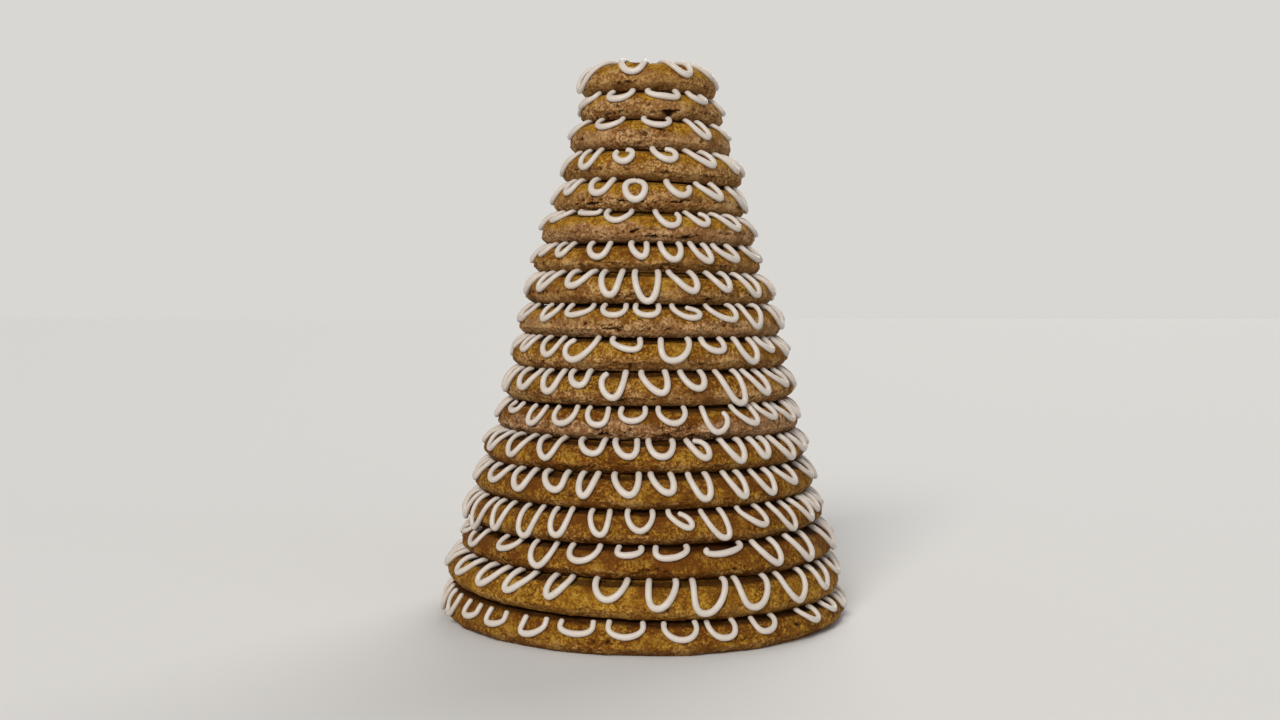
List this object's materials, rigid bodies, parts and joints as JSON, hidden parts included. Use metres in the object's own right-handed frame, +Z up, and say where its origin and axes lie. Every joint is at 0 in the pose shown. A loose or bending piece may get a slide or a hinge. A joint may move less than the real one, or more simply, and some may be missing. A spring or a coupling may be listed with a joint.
{
  "type": "kransekake ring cake",
  "caption": "Tall hollow cone of stacked baked almond rings, each smaller than the one below, piped all round with hanging loops of white sugar icing.",
  "frame": {"origin": "middle of the bottom ring's flat underside, which the cake rests on", "axes": "+Z up along the cone's axis, -Y towards the front, +X to the right as seen from the front"},
  "size_m": [0.2054, 0.2047, 0.2742],
  "materials": {
    "crust": "matte",
    "icing": "satin"
  },
  "bodies": {
    "root": {"ring_01": "crust", "ring_02": "crust", "ring_03": "crust", "ring_04": "crust", "ring_05": "crust", "ring_06": "crust", "ring_07": "crust", "ring_08": "crust", "ring_09": "crust", "ring_10": "crust", "ring_11": "crust", "ring_12": "crust", "ring_13": "crust", "ring_14": "crust", "ring_15": "crust", "ring_16": "crust", "ring_17": "crust", "ring_18": "crust"}
  },
  "joints": []
}
